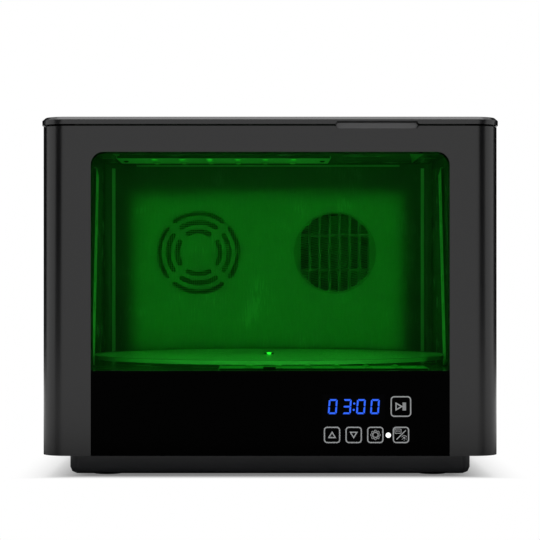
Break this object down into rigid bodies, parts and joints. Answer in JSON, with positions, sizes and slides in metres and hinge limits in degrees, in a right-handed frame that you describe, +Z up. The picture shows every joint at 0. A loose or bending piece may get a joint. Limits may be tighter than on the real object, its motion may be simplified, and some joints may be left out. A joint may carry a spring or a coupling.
{
  "type": "dental lab light curing unit",
  "caption": "Bench-top box with a rear-hinged lid, a green filter window over a black touch fascia and a turntable, which hardens light-cured dental resin parts.",
  "frame": {"origin": "middle of the ground face that the rubber feet stand on", "axes": "+Z up, +Y from the front window towards the hinges at the rear, +X to the right seen from the front"},
  "size_m": [0.357, 0.4, 0.2806],
  "materials": {
    "casing_plastic": "fine-grained dark grey moulding",
    "lid_plastic": "fine-grained dark grey moulding",
    "base_plastic": "satin near-black moulding",
    "filter_acrylic": "polished deep green acrylic",
    "fascia_acrylic": "polished black acrylic with printed keys",
    "carrier_plastic": "satin black moulding",
    "liner_metal": "satin sheet",
    "grille_metal": "darker satin sheet",
    "plated_steel": "zinc-plated sheet",
    "rubber": "matt rubber",
    "led_board_white": "white solder mask on aluminium",
    "led_lens": "clear LED domes",
    "screen_metal": "dark punched sheet",
    "fan_plastic": "moulded black",
    "heater_board": "heat-proof board",
    "fin_aluminium": "folded foil",
    "motor_steel": "plated motor can",
    "bush_bronze": "sintered bronze",
    "circuit_green": "green solder mask",
    "display_black": "black display block",
    "spring_brass": "plated spring",
    "hinge_steel": "dark coated steel",
    "screw_steel": "plated screws",
    "sensor_white": "white sensor block",
    "probe_metal": "probe can and clip",
    "cable_black": "black cable sheath",
    "clear_acrylic": "polished clear acrylic",
    "hub_plastic": "moulded hub",
    "bright_steel": "bright steel"
  },
  "bodies": {
    "cabinet": {"outer_casing": "casing_plastic", "rear_panel": "casing_plastic", "window_pane": "filter_acrylic", "touch_fascia": "fascia_acrylic", "pane_carrier": "carrier_plastic", "chamber_liner": "liner_metal", "chamber_rear_sheet": "liner_metal", "chamber_floor": "liner_metal", "top_deck": "casing_plastic", "finger_pocket": "casing_plastic", "base_plate": "plated_steel", "plinth": "base_plastic", "rubber_feet": "rubber", "floor_posts": "plated_steel", "floor_led_board": "led_board_white", "floor_leds": "led_lens", "left_led_board": "led_board_white", "left_leds": "led_lens", "right_led_board": "led_board_white", "right_leds": "led_lens", "vent_screen": "screen_metal", "exhaust_fan_frame": "fan_plastic", "exhaust_duct": "fan_plastic", "heater_grille": "grille_metal", "heater_frame": "heater_board", "heater_fins": "fin_aluminium", "heater_fan_frame": "fan_plastic", "gearmotor": "motor_steel", "motor_bracket": "plated_steel", "shaft_bush": "bush_bronze", "control_board": "circuit_green", "display_module": "display_black", "touch_springs": "spring_brass", "driver_board": "circuit_green", "power_supply": "plated_steel", "power_inlet": "carrier_plastic", "switch_housing": "carrier_plastic", "fixed_hinge_leaves": "hinge_steel", "hinge_pins": "screw_steel", "hinge_screws": "screw_steel", "reed_sensor": "sensor_white", "temperature_probe": "probe_metal", "base_screws": "screw_steel", "rear_screws": "screw_steel", "wiring_loom": "cable_black"},
    "lid": {"lid_cover": "lid_plastic", "lid_tray": "liner_metal", "lid_led_board": "led_board_white", "lid_leds": "led_lens", "lid_hinge_leaves": "hinge_steel", "lid_magnet": "plated_steel", "lid_buffers": "rubber", "lid_screws": "screw_steel"},
    "turntable": {"turntable_disc": "clear_acrylic", "turntable_hub": "hub_plastic", "turntable_screw": "bright_steel", "turntable_shaft": "bright_steel"},
    "exhaust_fan": {"exhaust_impeller": "fan_plastic"},
    "heater_fan": {"heater_impeller": "fan_plastic"},
    "rocker": {"rocker_cap": "carrier_plastic"}
  },
  "joints": [
    {"name": "lid_hinge", "type": "hinge", "parent": "cabinet", "child": "lid", "pos_m": [0, 0.196, 0.2741], "axis": [-1, 0, 0], "range_deg": [0, 85]},
    {"name": "turntable_spin", "type": "hinge", "parent": "cabinet", "child": "turntable", "pos_m": [0, -0.033, 0.0891], "axis": [0, 0, 1], "continuous": true},
    {"name": "exhaust_fan_spin", "type": "hinge", "parent": "cabinet", "child": "exhaust_fan", "pos_m": [-0.066, 0.143, 0.1813], "axis": [0, 1, 0], "continuous": true},
    {"name": "heater_fan_spin", "type": "hinge", "parent": "cabinet", "child": "heater_fan", "pos_m": [0.0635, 0.1675, 0.1813], "axis": [0, 1, 0], "continuous": true},
    {"name": "rocker_tilt", "type": "hinge", "parent": "cabinet", "child": "rocker", "pos_m": [0.066, 0.188, 0.0498], "axis": [-1, 0, 0], "range_deg": [0, 14]}
  ]
}
